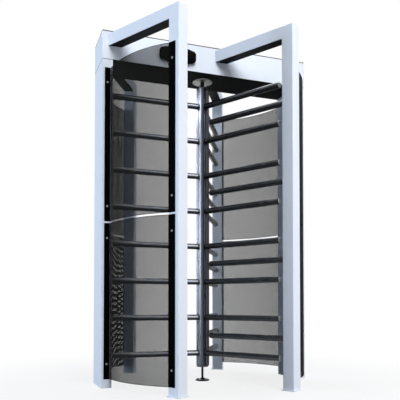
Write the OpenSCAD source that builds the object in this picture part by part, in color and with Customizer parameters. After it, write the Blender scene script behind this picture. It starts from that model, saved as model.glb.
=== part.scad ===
/* [Header] */
// Length of the header, which is also the overall length
header_length = 1486; // [1440:2:1560]
// Depth of the header and of the two end pillars
header_depth = 286; // [240:2:320]
// Height of the header's side panels
header_panel_height = 181; // [150:1:220]
// Free height from the floor to the underside of the header
clear_height = 2130; // [2110:5:2200]
// Sheet thickness of the header's panels and underside
header_wall = 3; // [2:0.5:4]
// Thickness of the lid that closes the header
lid_thickness = 6; // [4:1:10]

/* [Pillars and posts] */
// Width of an end pillar, measured along the header
pillar_width = 70; // [60:1:80]
// Sheet thickness of an end pillar
pillar_wall = 3; // [2:0.5:4]
// Outer radius of the folded edges of an end pillar
pillar_corner = 5; // [5:0.5:8]
// Side of the square tube of the posts and beams
post_size = 80; // [70:1:90]
// Wall of the square tube of the posts and beams
post_wall = 3; // [2:0.5:4]
// Outer corner radius of the square tube
post_corner = 5; // [5:0.5:12]
// Distance of the tops of the posts and beams below the top of the lid
beam_drop = 20; // [16:1:60]
// How far the foot plates reach beyond the posts
foot_lip = 8; // [4:1:14]
// Thickness of the foot plates
foot_plate_t = 4; // [3:1:8]
// Distance of the left posts from the rotor axis, along the header
left_post_x = 380; // [370:1:390]
// Distance of the right posts from the rotor axis, along the header
right_post_x = 366; // [360:1:376]
// Distance of the posts from the centre line of the header
post_y = 624; // [615:1:640]
// Direction of the front beams, in degrees from the header's length
beam_angle = -60; // [-64:1:-56]

/* [Rotor] */
// Height of the centre of the lowest bar
lowest_bar = 195; // [185:1:210]
// Spacing of the bars
bar_pitch = 250; // [235:1:250]
// Diameter of the bars of the rotor and combs
bar_d = 40; // [32:1:44]
// Wall of the bars
bar_wall = 2; // [1:0.5:4]
// Distance of the tips of the wings from the rotor axis
wing_reach = 645; // [600:1:655]
// Diameter of the three upright tubes of the rotor
column_tube_d = 40; // [36:1:42]
// Distance of the upright tubes from the rotor axis
column_tube_r = 30; // [29:1:32]
// Height of the foot of the rotor's column
column_bottom = 98; // [80:1:110]
// Gap between the head of the rotor's column and the header
column_head_gap = 52; // [40:1:70]
// Thickness of the plates that join the upright tubes
hub_plate_t = 8; // [6:1:12]
// Diameter of the plates that join the upright tubes
hub_plate_d = 84; // [80:1:96]

/* [Bearings] */
// Diameter of the shaft above the column
shaft_d = 28; // [24:1:32]
// Diameter of the pin below the column
pin_d = 16; // [12:1:20]
// Diameter of the bearing flange under the header
top_flange_d = 140; // [120:1:160]
// Thickness of the bearing flange under the header
top_flange_t = 9; // [8:1:16]
// Diameter of the bearing's neck inside the header
top_neck_d = 64; // [56:1:80]
// Height of the bearing's neck inside the header
top_neck_h = 50; // [30:1:80]
// Diameter of the flange on the floor
floor_flange_d = 96; // [90:1:120]
// Thickness of the flange on the floor
floor_flange_t = 8; // [6:1:12]
// Diameter of the boss that holds the pin
floor_boss_d = 27; // [24:1:34]
// Height of the boss above the floor
floor_boss_h = 19; // [16:1:30]
// Pitch circle of the anchor holes in the floor flange
anchor_pcd = 70; // [64:1:76]
// Diameter of the anchor holes in the floor flange
anchor_hole_d = 9; // [7:0.5:11]
// Radial clearance of the shaft and pin in their bearings
running_clearance = 0.05; // [0.02:0.01:0.09]

/* [Guards] */
// Radius to which the guard sheets are rolled
guard_radius = 700; // [660:5:800]
// Thickness of the guard sheets
guard_t = 3; // [2:0.5:4]
// Height of the lower edge of the guards
guard_bottom = 58; // [40:1:90]
// Distance of the guards' upper edge below the header
guard_top_gap = 56; // [40:1:100]
// Open joint between the lower and upper sheets
guard_joint = 12; // [8:1:20]
// Distance of the sheets from the inner face of the end pillars
guard_inset = 14; // [10:1:20]
// Distance of the right sheets from the rear edge of their posts
guard_post_inset = 25; // [18:1:32]
// Width of the clamp strips on the end pillars
pillar_strip_w = 37; // [30:1:45]
// Width of the clamp strips on the posts
post_strip_w = 47; // [40:1:50]
// Distance of the strips on the left posts from the rear edge of their posts
post_strip_inset = 7; // [4:1:12]
// Thickness of the clamp strips
strip_t = 4; // [3:0.5:6]

/* [Combs] */
// Distance of the free ends of the combs from the rotor axis
comb_reach = 78; // [70:1:90]

/* [Indicators] */
// Length of the indicator housing on the header
indicator_length = 258; // [220:2:300]
// Height of the indicator housing
indicator_height = 112; // [90:1:130]
// Depth of the indicator housing
indicator_depth = 14; // [8:1:24]
// Distance of the indicators from the rotor axis, towards the left
indicator_offset = 232; // [200:1:260]
// Corner radius of the indicator housing
indicator_corner = 26; // [18:1:34]
// Height of the straight part of the indicator's ends
indicator_flat = 30; // [20:1:50]

/* [Hidden] */
$fn = 96;

// Gap left where two pieces of one assembly lie against each other
fit = 0.3;
// Gap between a bar and the upright tubes that it seats against
seat_gap = 0.1;
// Extra length of a cutting tool beyond what it cuts
over = 1;

half_length = header_length / 2;
half_depth = header_depth / 2;
panel_bottom = clear_height + header_wall;
lid_bottom = panel_bottom + header_panel_height;
half_post = post_size / 2;
post_bore = post_size - 2 * post_wall;
post_height = lid_bottom + lid_thickness - beam_drop;
guard_sheet_h = (clear_height - guard_top_gap - guard_bottom - guard_joint) / 2;
upper_guard_bottom = guard_bottom + guard_sheet_h + guard_joint;

// The column, and the bars that fit between its foot and its head
column_top = clear_height - column_head_gap;
highest_bar = column_top - hub_plate_t - bar_d / 2 - fit;
bar_levels = floor((highest_bar - lowest_bar) / bar_pitch) + 1;

// The comb bars, each halfway between two levels of the wings, in every second gap
lowest_comb = lowest_bar + bar_pitch / 2;
comb_pitch = 2 * bar_pitch;
comb_bars = floor((highest_bar - lowest_comb) / comb_pitch) + 1;

// Angles of the three wings at rest, and of the upright tubes between them
wing_left_angle = 180;
wing_front_angle = beam_angle;
wing_rear_angle = -beam_angle;
tube_front_angle = -120;
tube_right_angle = 0;
tube_rear_angle = 120;

// Unit vectors along a front beam, outwards, and across it, to the right
beam_dir = [cos(beam_angle), sin(beam_angle)];
beam_side = [-sin(beam_angle), cos(beam_angle)];

left_post = [-left_post_x, -post_y];
right_post = [right_post_x, -post_y];

// Ends of the front guard sheets, on the middle of their thickness
left_pillar_end = [-(half_length - pillar_width + guard_inset), -half_depth];
right_pillar_end = [half_length - pillar_width + guard_inset, -half_depth];
left_post_end = left_post + (post_strip_inset - half_post) * beam_dir
    - (half_post + strip_t / 2) * beam_side;
right_post_end = right_post + (guard_post_inset - half_post) * beam_dir + half_post * beam_side;

function dot2(a, b) = a[0] * b[0] + a[1] * b[1];
function direction(a) = atan2(a[1], a[0]);
function unit(a) = a / norm(a);

// Centre of the arc of radius r from a to b that has the rotor on its inner side
function arc_centre(a, b, r) =
    let (middle = (a + b) / 2,
         chord = unit(b - a),
         across = [-chord[1], chord[0]],
         inward = dot2(across, middle) < 0 ? across : -across,
         depth = sqrt(r * r - pow(norm(b - a) / 2, 2)))
    middle + depth * inward;

// Distance from the rotor axis to the inner face of the right posts, along the beam
comb_root = dot2(right_post, beam_dir) - half_post;

module ring(outer_d, inner_d, height) {
    difference() {
        cylinder(d = outer_d, h = height);
        translate([0, 0, -over]) cylinder(d = inner_d, h = height + 2 * over);
    }
}

// ---- header and its two end pillars ----

module header_underside() {
    color("dimgray")
    difference() {
        translate([-half_length, -half_depth, clear_height])
            cube([header_length, header_depth, header_wall]);
        translate([0, 0, clear_height - over])
            cylinder(d = top_neck_d + 2 * fit, h = header_wall + 2 * over);
    }
}

module header_side_panel() {
    color("aliceblue")
    translate([-half_length, -half_depth, panel_bottom])
        cube([header_length, header_wall, header_panel_height]);
}

module header_front_panel() {
    header_side_panel();
}

module header_rear_panel() {
    mirror([0, 1, 0]) header_side_panel();
}

module header_end() {
    color("lightsteelblue")
    translate([-half_length, header_wall - half_depth, panel_bottom])
        cube([header_wall, header_depth - 2 * header_wall, header_panel_height]);
}

module header_left_end() {
    header_end();
}

module header_right_end() {
    mirror([1, 0, 0]) header_end();
}

module header_lid() {
    color("dimgray")
    translate([-half_length, -half_depth, lid_bottom])
        cube([header_length, header_depth, lid_thickness]);
}

// A rectangle with rounded corners, centred on the origin
module rounded_rectangle(width, depth, corner) {
    square([width - 2 * corner, depth], center = true);
    square([width, depth - 2 * corner], center = true);
    for (x = [-1, 1], y = [-1, 1])
        translate([x * (width / 2 - corner), y * (depth / 2 - corner)])
            circle(r = corner);
}

// A folded box, closed at the floor and open to the header
module pillar() {
    inside = [pillar_width - 2 * pillar_wall, header_depth - 2 * pillar_wall];
    color("lightsteelblue")
    translate([pillar_width / 2 - half_length, 0, 0])
    difference() {
        linear_extrude(clear_height)
            rounded_rectangle(pillar_width, header_depth, pillar_corner);
        translate([0, 0, pillar_wall])
        linear_extrude(clear_height)
            rounded_rectangle(inside[0], inside[1], pillar_corner - pillar_wall);
    }
}

module left_pillar() {
    pillar();
}

module right_pillar() {
    mirror([1, 0, 0]) pillar();
}

// ---- posts and beams ----

module at_post(centre) {
    translate([centre[0], centre[1], 0]) rotate([0, 0, beam_angle]) children();
}

// Everything above the mitre plane of post and beam, or below it when tilted by 135
module beyond_mitre(tilt) {
    far = 2 * post_height;
    translate([0, 0, post_height - half_post])
    rotate([0, tilt, 0])
    translate([-far, -far, 0])
        cube([2 * far, 2 * far, 2 * far]);
}

// A square tube on a foot plate, mitred at its head
module post(centre) {
    foot = post_size + 2 * foot_lip;
    color("whitesmoke")
    at_post(centre)
    difference() {
        union() {
            linear_extrude(foot_plate_t)
                rounded_rectangle(foot, foot, post_corner);
            linear_extrude(post_height)
                rounded_rectangle(post_size, post_size, post_corner);
        }
        translate([0, 0, foot_plate_t])
        linear_extrude(post_height)
            rounded_rectangle(post_bore, post_bore, post_corner - post_wall);
        beyond_mitre(-45);
    }
}

// A square tube from the mitre on its post to the oblique cut on the header's face
module beam(centre) {
    reach = post_y / sin(-beam_angle) + post_size;
    color("lavender")
    difference() {
        at_post(centre)
        difference() {
            translate([-reach, 0, post_height - half_post])
            rotate([90, 0, 90])
            difference() {
                linear_extrude(reach + half_post)
                    rounded_rectangle(post_size, post_size, post_corner);
                translate([0, 0, -over])
                linear_extrude(reach + half_post + 2 * over)
                    rounded_rectangle(post_bore, post_bore, post_corner - post_wall);
            }
            beyond_mitre(135);
        }
        translate([-header_length, -half_depth, post_height - post_size - over])
            cube([2 * header_length, header_length, post_size + 2 * over]);
    }
}

module front_left_post() {
    post(left_post);
}

module front_right_post() {
    post(right_post);
}

module rear_left_post() {
    mirror([0, 1, 0]) post(left_post);
}

module rear_right_post() {
    mirror([0, 1, 0]) post(right_post);
}

module front_left_beam() {
    beam(left_post);
}

module front_right_beam() {
    beam(right_post);
}

module rear_left_beam() {
    mirror([0, 1, 0]) beam(left_post);
}

module rear_right_beam() {
    mirror([0, 1, 0]) beam(right_post);
}

// ---- guard sheets and the strips that clamp them ----

// Rolled sheet from end a to end b, on the middle of its thickness
module guard_sheet(a, b, base) {
    centre = arc_centre(a, b, guard_radius);
    trim = fit / guard_radius * 180 / PI;
    skew = atan(guard_t / 4 / guard_radius);
    from_a = direction(a - centre);
    sweep = direction(b - centre) - from_a;
    turn = sweep > 180 ? sweep - 360 : sweep < -180 ? sweep + 360 : sweep;
    way = sign(turn);
    start = from_a + way * (trim + skew);
    stop = from_a + turn - way * (trim + skew);
    far = 2 * guard_radius;
    color("dimgray")
    translate([centre[0], centre[1], base])
    linear_extrude(guard_sheet_h)
    intersection() {
        difference() {
            circle(r = guard_radius + guard_t / 2);
            circle(r = guard_radius - guard_t / 2);
        }
        polygon([[0, 0], far * [cos(start), sin(start)],
                 far * [cos((start + stop) / 2), sin((start + stop) / 2)],
                 far * [cos(stop), sin(stop)]]);
    }
}

module left_guard(base) {
    guard_sheet(left_pillar_end, left_post_end, base);
}

module right_guard(base) {
    guard_sheet(right_pillar_end, right_post_end, base);
}

module front_left_guard_lower() {
    left_guard(guard_bottom);
}

module front_left_guard_upper() {
    left_guard(upper_guard_bottom);
}

module front_right_guard_lower() {
    right_guard(guard_bottom);
}

module front_right_guard_upper() {
    right_guard(upper_guard_bottom);
}

module rear_left_guard_lower() {
    mirror([0, 1, 0]) left_guard(guard_bottom);
}

module rear_left_guard_upper() {
    mirror([0, 1, 0]) left_guard(upper_guard_bottom);
}

module rear_right_guard_lower() {
    mirror([0, 1, 0]) right_guard(guard_bottom);
}

module rear_right_guard_upper() {
    mirror([0, 1, 0]) right_guard(upper_guard_bottom);
}

// Strips on the front face of the left pillar, outside the sheet's end
module pillar_strips() {
    outside = half_length - pillar_width + guard_inset + guard_t / 2 + fit;
    for (base = [guard_bottom, upper_guard_bottom])
        translate([-outside - pillar_strip_w, -half_depth - strip_t, base])
            cube([pillar_strip_w, strip_t, guard_sheet_h]);
}

module front_left_strips() {
    color("black") {
        pillar_strips();
        for (base = [guard_bottom, upper_guard_bottom])
            at_post(left_post)
            translate([post_strip_inset + fit - half_post, -half_post - strip_t, base])
                cube([post_strip_w, strip_t, guard_sheet_h]);
    }
}

module front_right_strips() {
    outside = guard_post_inset + guard_t / 2 + 2 * fit;
    color("black") {
        mirror([1, 0, 0]) pillar_strips();
        for (base = [guard_bottom, upper_guard_bottom])
            at_post(right_post)
            translate([-half_post + outside, half_post, base])
                cube([post_strip_w, strip_t, guard_sheet_h]);
    }
}

module rear_left_strips() {
    mirror([0, 1, 0]) front_left_strips();
}

module rear_right_strips() {
    mirror([0, 1, 0]) front_right_strips();
}

// ---- rotor ----

module column_tube(angle) {
    color("silver")
    rotate([0, 0, angle])
    translate([column_tube_r, 0, column_bottom + hub_plate_t])
        ring(column_tube_d, column_tube_d - 2 * bar_wall,
             column_top - column_bottom - 2 * hub_plate_t);
}

module column_tube_front() {
    column_tube(tube_front_angle);
}

module column_tube_right() {
    column_tube(tube_right_angle);
}

module column_tube_rear() {
    column_tube(tube_rear_angle);
}

module column_top_plate() {
    color("silver")
    translate([0, 0, column_top - hub_plate_t]) cylinder(d = hub_plate_d, h = hub_plate_t);
}

module column_bottom_plate() {
    color("silver")
    translate([0, 0, column_bottom]) cylinder(d = hub_plate_d, h = hub_plate_t);
}

// A tube along +X from one distance to another, with its outer or inner end closed
module bar(from, to, closed_outside) {
    bore_start = closed_outside ? from - over : from + bar_wall;
    bore_stop = closed_outside ? to - bar_wall : to + over;
    rotate([0, 90, 0])
    difference() {
        translate([0, 0, from]) cylinder(d = bar_d, h = to - from);
        translate([0, 0, bore_start])
            cylinder(d = bar_d - 2 * bar_wall, h = bore_stop - bore_start);
    }
}

// The bars of one wing, cut to seat in the hollow between two upright tubes
module wing(angle) {
    seat = column_tube_d + 2 * seat_gap;
    color("dimgray")
    rotate([0, 0, angle])
    for (level = [0 : bar_levels - 1])
        translate([0, 0, lowest_bar + level * bar_pitch])
        difference() {
            bar(column_tube_r, wing_reach, true);
            for (side = [-60, 60])
                rotate([0, 0, side])
                translate([column_tube_r, 0, -bar_d])
                    cylinder(d = seat, h = 2 * bar_d);
        }
}

module wing_left() {
    wing(wing_left_angle);
}

module wing_front() {
    wing(wing_front_angle);
}

module wing_rear() {
    wing(wing_rear_angle);
}

module rotor_shaft() {
    color("gray")
    translate([0, 0, column_top])
        cylinder(d = shaft_d, h = clear_height + top_neck_h - column_top);
}

module rotor_pin() {
    pin_bottom = floor_flange_t / 2 + fit;
    color("gray")
    translate([0, 0, pin_bottom]) cylinder(d = pin_d, h = column_bottom - pin_bottom);
}

// ---- bearings ----

module top_bearing() {
    color("darkgray")
    difference() {
        union() {
            translate([0, 0, clear_height - top_flange_t])
                cylinder(d = top_flange_d, h = top_flange_t);
            translate([0, 0, clear_height - over])
                cylinder(d = top_neck_d, h = top_neck_h + over);
        }
        translate([0, 0, clear_height - top_flange_t - over])
            cylinder(d = shaft_d + 2 * running_clearance,
                     h = top_neck_h + top_flange_t + 2 * over);
    }
}

module floor_pivot() {
    color("slategray")
    difference() {
        union() {
            cylinder(d = floor_flange_d, h = floor_flange_t);
            cylinder(d = floor_boss_d, h = floor_boss_h);
        }
        translate([0, 0, floor_flange_t / 2])
            cylinder(d = pin_d + 2 * running_clearance, h = floor_boss_h);
        for (corner = [45 : 90 : 315])
            rotate([0, 0, corner])
            translate([anchor_pcd / 2, 0, -over])
                cylinder(d = anchor_hole_d, h = floor_flange_t + 2 * over);
    }
}

// ---- combs ----

module comb(angle) {
    color("dimgray")
    rotate([0, 0, angle])
    for (level = [0 : comb_bars - 1])
        translate([0, 0, lowest_comb + level * comb_pitch])
            bar(comb_reach, comb_root, false);
}

module comb_front() {
    comb(wing_front_angle);
}

module comb_rear() {
    comb(wing_rear_angle);
}

// ---- indicators ----

// A barrel: upright ends, round corners, and a top and bottom that swell to the middle
module indicator_outline() {
    corner_x = indicator_length / 2 - indicator_corner;
    corner_y = indicator_flat / 2;
    crown = indicator_height / 2 - indicator_corner;
    drop = (corner_x * corner_x + corner_y * corner_y - crown * crown)
        / (2 * (crown - corner_y));
    swell = drop + indicator_height / 2;
    tangent_x = swell * corner_x / (swell - indicator_corner);
    square([indicator_length, indicator_flat], center = true);
    for (x = [-1, 1], y = [-1, 1])
        translate([x * corner_x, y * corner_y]) circle(r = indicator_corner);
    intersection() {
        translate([0, -drop]) circle(r = swell, $fn = 4 * $fn);
        translate([0, drop]) circle(r = swell, $fn = 4 * $fn);
        square([2 * tangent_x, indicator_height], center = true);
    }
}

module indicator() {
    color("black")
    translate([-indicator_offset, -half_depth, panel_bottom + header_panel_height / 2])
    rotate([90, 0, 0])
    linear_extrude(indicator_depth)
        indicator_outline();
}

module front_indicator() {
    indicator();
}

module rear_indicator() {
    mirror([0, 1, 0]) indicator();
}

header_underside();
header_front_panel();
header_rear_panel();
header_left_end();
header_right_end();
header_lid();
left_pillar();
right_pillar();
front_left_post();
front_right_post();
rear_left_post();
rear_right_post();
front_left_beam();
front_right_beam();
rear_left_beam();
rear_right_beam();
front_left_guard_lower();
front_left_guard_upper();
front_right_guard_lower();
front_right_guard_upper();
rear_left_guard_lower();
rear_left_guard_upper();
rear_right_guard_lower();
rear_right_guard_upper();
front_left_strips();
front_right_strips();
rear_left_strips();
rear_right_strips();
column_tube_front();
column_tube_right();
column_tube_rear();
column_top_plate();
column_bottom_plate();
wing_left();
wing_front();
wing_rear();
rotor_shaft();
rotor_pin();
top_bearing();
floor_pivot();
comb_front();
comb_rear();
front_indicator();
rear_indicator();
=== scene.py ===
"""Finishes, perforated guards, fasteners and studio of a full-height turnstile."""
import logging
import math
from dataclasses import dataclass, field, replace
from enum import Enum

import bmesh
import bpy
import numpy as np
from mathutils import Matrix, Vector


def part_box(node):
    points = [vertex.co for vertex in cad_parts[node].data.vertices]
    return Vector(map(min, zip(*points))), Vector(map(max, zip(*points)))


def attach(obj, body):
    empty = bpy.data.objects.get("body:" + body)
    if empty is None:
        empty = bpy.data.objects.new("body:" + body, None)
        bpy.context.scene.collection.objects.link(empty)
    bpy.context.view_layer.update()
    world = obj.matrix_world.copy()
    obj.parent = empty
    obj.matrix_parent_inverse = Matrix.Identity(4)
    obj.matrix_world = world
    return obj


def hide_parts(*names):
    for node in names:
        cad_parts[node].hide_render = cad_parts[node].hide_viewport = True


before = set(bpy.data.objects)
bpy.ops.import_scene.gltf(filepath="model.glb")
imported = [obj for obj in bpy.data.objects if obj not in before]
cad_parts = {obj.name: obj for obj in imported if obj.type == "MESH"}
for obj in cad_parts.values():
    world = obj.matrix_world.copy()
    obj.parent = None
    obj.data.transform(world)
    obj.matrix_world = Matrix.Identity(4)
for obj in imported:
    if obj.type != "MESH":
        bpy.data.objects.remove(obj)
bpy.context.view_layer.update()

LOG = logging.getLogger("turnstile")
MM = 0.001
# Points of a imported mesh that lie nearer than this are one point
SAME_POINT = 1e-5
# Turns a strip that lies along X upright
QUARTER_TURN = Matrix.Rotation(math.radians(90), 4, "Y")
# The range in which most values of a noise lie
NOISE_RANGE = (0.3, 0.7)
# A face looks along an axis if this much of its unit normal lies on it
LOOKS_ALONG = 0.99
# Painted shade: the dark colour given to the undersides, in the dullest places of the coat under the header
# and beneath the beams
UNDERSIDE_SHADE_COLOUR = "0c0d0d"


# ---- colours, shader nodes and meshes ----

def srgb(code: str) -> tuple[float, float, float, float]:
    """Turns an sRGB hex colour into linear red, green, blue and alpha.

    Args:
        code: six hex digits, such as "e6ecf2".

    Returns:
        The linear colour, opaque.
    """
    shares = [int(code[at:at + 2], 16) / 255 for at in (0, 2, 4)]
    linear = [s / 12.92 if s <= 0.04045 else ((s + 0.055) / 1.055) ** 2.4 for s in shares]
    return (*linear, 1.0)


def per_mm(size: float) -> float:
    """Gives the texture scale, in repeats per metre, of a feature of a size in mm."""
    return 1 / (size * MM)


def add_node(tree: bpy.types.NodeTree, kind: str, links: dict[str | int, object] | None = None,
             **settings: object) -> bpy.types.Node:
    """Adds a shader node with its settings and links.

    Args:
        tree: the node tree that gets the node.
        kind: the node's type, such as "ShaderNodeBump".
        links: by input name or number, an output socket to link or a value to set.
        settings: the node's own properties.

    Returns:
        The new node.
    """
    node = tree.nodes.new(kind)
    for name, value in settings.items():
        setattr(node, name, value)
    for socket, source in (links or {}).items():
        if isinstance(source, bpy.types.NodeSocket):
            tree.links.new(source, node.inputs[socket])
        else:
            node.inputs[socket].default_value = source
    return node


def facing(normal: Vector, at: Vector) -> Matrix:
    """Gives the matrix that turns +Z to a normal and moves the origin to a point."""
    return Matrix.Translation(at) @ normal.to_track_quat("Z", "Y").to_matrix().to_4x4()


def turned(profile: list[tuple[float, float]], steps: int) -> bmesh.types.BMesh:
    """Turns a profile round Z.

    Args:
        profile: radius and height of each point in metres; a radius of 0 closes the shape.
        steps: number of facets round the axis.

    Returns:
        The turned mesh.
    """
    bm = bmesh.new()
    points = [bm.verts.new((radius, 0, height)) for radius, height in profile]
    edges = [bm.edges.new(pair) for pair in zip(points, points[1:])]
    bmesh.ops.spin(bm, geom=points + edges, cent=(0, 0, 0), axis=(0, 0, 1),
                   angle=2 * math.pi, steps=steps, use_merge=True, use_duplicate=False)
    bmesh.ops.remove_doubles(bm, verts=bm.verts, dist=SAME_POINT / 10)
    bmesh.ops.recalc_face_normals(bm, faces=bm.faces)
    return bm


def join(target: bmesh.types.BMesh, pattern: bmesh.types.BMesh, places: list[Matrix]) -> None:
    """Adds one copy of a shape to a mesh at each place.

    Args:
        target: the mesh that grows.
        pattern: the shape, freed afterwards.
        places: the matrix of each copy.
    """
    one = bpy.data.meshes.new("pattern")
    pattern.to_mesh(one)
    pattern.free()
    for matrix in places:
        first = len(target.verts)
        target.from_mesh(one)
        target.verts.ensure_lookup_table()
        bmesh.ops.transform(target, matrix=matrix, verts=target.verts[first:])
    bpy.data.meshes.remove(one)


def copies(pattern: bmesh.types.BMesh, places: list[Matrix]) -> bmesh.types.BMesh:
    """Makes a mesh of one copy of a shape at each place.

    Args:
        pattern: the shape, freed afterwards.
        places: the matrix of each copy.

    Returns:
        The mesh of all copies.
    """
    joined = bmesh.new()
    join(joined, pattern, places)
    return joined


def mesh_object(name: str, bm: bmesh.types.BMesh, smooth_below: float = 35.0) -> bpy.types.Object:
    """Makes an object at the origin from a bmesh, shaded smooth but for its sharp edges.

    Args:
        name: the object's name.
        bm: the mesh, in place; it is freed.
        smooth_below: the angle in degrees under which an edge is shaded smooth.

    Returns:
        The object, linked to the scene.
    """
    bmesh.ops.recalc_face_normals(bm, faces=bm.faces)
    mesh = bpy.data.meshes.new(name)
    bm.to_mesh(mesh)
    bm.free()
    mesh.shade_smooth()
    mesh.set_sharp_from_angle(angle=math.radians(smooth_below))
    made = bpy.data.objects.new(name, mesh)
    bpy.context.scene.collection.objects.link(made)
    return made


def add_piece(name: str, bm: bmesh.types.BMesh, material: bpy.types.Material, body: str) -> bpy.types.Object:
    """Adds a new piece to the turnstile.

    Args:
        name: the piece's name.
        bm: its mesh, in place; it is freed.
        material: its finish.
        body: the body that it rides on.

    Returns:
        The piece.
    """
    piece = mesh_object(name, bm)
    piece.data.materials.append(material)
    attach(piece, body)
    LOG.info("%s: %d faces in %s", name, len(piece.data.polygons), material.name)
    return piece


def dress(node: str, material: bpy.types.Material, round_edge: float = 0.0) -> None:
    """Gives a carried-over node its material, and where asked a small edge radius.

    Args:
        node: the node's name.
        material: its finish.
        round_edge: radius in metres of its rounded edges, 0 for none.
    """
    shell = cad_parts[node]
    shell.data.materials.clear()
    shell.data.materials.append(material)
    if round_edge:
        weld = shell.modifiers.new("join_triangles", "WELD")
        weld.merge_threshold = SAME_POINT
        bevel = shell.modifiers.new("round_edges", "BEVEL")
        bevel.width = round_edge
        bevel.segments = 2
        bevel.limit_method = "ANGLE"
        bevel.angle_limit = math.radians(50)
        bevel.harden_normals = True
    LOG.info("%s: dressed in %s", node, material.name)


# ---- finishes ----

@dataclass(frozen=True)
class Finish:
    """What every finish has.

    Attributes:
        name: the material's name.
        colour: sRGB hex colour.
        roughness: roughness of the surface.
        specular: specular level, 0.5 for a clean new paint and less for a weathered one.
        polish: how much less rough the smoothest places are.
        wear: how much rougher the dullest places are.
    """

    name: str
    colour: str
    roughness: float
    specular: float = 0.5
    polish: float = 0.0
    wear: float = 0.1

    def start(self) -> tuple[bpy.types.Material, bpy.types.Node, bpy.types.NodeSocket]:
        """Makes the material with its colour and roughness set.

        Returns:
            The material, its Principled node and the socket of the object's coordinates.
        """
        material = bpy.data.materials.new(self.name)
        material.use_nodes = True
        material.diffuse_color = srgb(self.colour)
        shader = material.node_tree.nodes["Principled BSDF"]
        shader.inputs["Base Color"].default_value = srgb(self.colour)
        shader.inputs["Roughness"].default_value = self.roughness
        shader.inputs["Specular IOR Level"].default_value = self.specular
        where = add_node(material.node_tree, "ShaderNodeTexCoord").outputs["Object"]
        return material, shader, where

    def detail(self, shader: bpy.types.Node, dull: bpy.types.NodeSocket,
               dull_range: tuple[float, float], relief: bpy.types.NodeSocket,
               strength: float, depth_mm: float) -> None:
        """Varies the roughness with one pattern and raises the surface with another.

        Args:
            shader: the Principled node.
            dull: the pattern of the duller places.
            dull_range: the range in which its values lie.
            relief: the pattern of the relief.
            strength: strength of the relief.
            depth_mm: height of the relief.
        """
        tree = shader.id_data
        rough = add_node(tree, "ShaderNodeMapRange",
                         {"Value": dull, "From Min": dull_range[0], "From Max": dull_range[1],
                          "To Min": self.roughness - self.polish,
                          "To Max": self.roughness + self.wear})
        tree.links.new(rough.outputs["Result"], shader.inputs["Roughness"])
        bump = add_node(tree, "ShaderNodeBump",
                        {"Height": relief, "Strength": strength, "Distance": depth_mm * MM})
        tree.links.new(bump.outputs["Normal"], shader.inputs["Normal"])


@dataclass(frozen=True)
class PowderCoat(Finish):
    """Polyester powder coat, sprayed dry and baked on steel.

    The eye sees an even colour with a satin sheen, the faint orange peel of melted powder,
    a slightly uneven tone over an arm's length, and darker streaks that grow towards the floor.

    Attributes:
        shade: sRGB hex colour of the dullest patches.
        peel_mm: width of one ripple of the orange peel, drawn coarser than the real 1.5 mm.
        peel_height_mm: height of the ripples.
        patch_mm: width of the patches of uneven tone.
        patchiness: share of the shade that the patches bring.
        streak_mm: width of the largest darker streaks.
        scuff_height: height in metres at which the darker streaks have faded out.
        scuff: share of the shade that the darker streaks bring at the floor.
        dark_below: height in metres of a beam's underside, beneath which the coat is painted
            dark as shade, like the header's, or 0 for none.
        dark_edge: how far in metres the painted shade reaches over the lower edges.
    """

    polish: float = 0.04
    wear: float = 0.06
    shade: str = field(kw_only=True)
    peel_mm: float = 4.0
    peel_height_mm: float = 0.03
    patch_mm: float = 350.0
    patchiness: float = 0.3
    streak_mm: float = 35.0
    scuff_height: float = 0.5
    scuff: float = 0.4
    dark_below: float = 0.0
    dark_edge: float = 0.4 * MM

    def build(self) -> bpy.types.Material:
        """Makes the material.

        Returns:
            The material.
        """
        material, shader, where = self.start()
        tree = material.node_tree
        patches = add_node(tree, "ShaderNodeTexNoise",
                           {"Vector": where, "Scale": per_mm(self.patch_mm), "Detail": 3.0})
        streaks = add_node(tree, "ShaderNodeTexNoise",
                           {"Vector": where, "Scale": per_mm(self.streak_mm), "Detail": 6.0,
                            "Roughness": 0.65})
        height = add_node(tree, "ShaderNodeSeparateXYZ", {0: where}).outputs["Z"]
        # Darker streaks that grow towards the floor
        low = add_node(tree, "ShaderNodeMapRange",
                       {"Value": height, "From Min": 0.0, "From Max": self.scuff_height,
                        "To Min": self.scuff, "To Max": 0.0}, interpolation_type="SMOOTHSTEP")
        floor_streaks = add_node(tree, "ShaderNodeMath",
                          {0: low.outputs["Result"], 1: streaks.outputs["Fac"]},
                          operation="MULTIPLY")
        tone = add_node(tree, "ShaderNodeMath",
                        {0: patches.outputs["Fac"], 1: self.patchiness, 2: floor_streaks.outputs[0]},
                        operation="MULTIPLY_ADD", use_clamp=True)
        colour = add_node(tree, "ShaderNodeMix",
                          {0: tone.outputs[0], 6: srgb(self.colour), 7: srgb(self.shade)},
                          data_type="RGBA")
        # Painted shade: the faces beneath a beam's lower face turn to the dark underside colour
        if self.dark_below:
            under = add_node(tree, "ShaderNodeMath",
                             {0: height, 1: self.dark_below + self.dark_edge},
                             operation="LESS_THAN")
            colour = add_node(tree, "ShaderNodeMix",
                              {0: under.outputs[0], 6: colour.outputs[2],
                               7: srgb(UNDERSIDE_SHADE_COLOUR)}, data_type="RGBA")
        tree.links.new(colour.outputs[2], shader.inputs["Base Color"])
        peel = add_node(tree, "ShaderNodeTexNoise",
                        {"Vector": where, "Scale": per_mm(self.peel_mm), "Detail": 1.0})
        self.detail(shader, streaks.outputs["Fac"], NOISE_RANGE, peel.outputs["Fac"],
                    strength=0.5, depth_mm=self.peel_height_mm)
        return material


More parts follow.
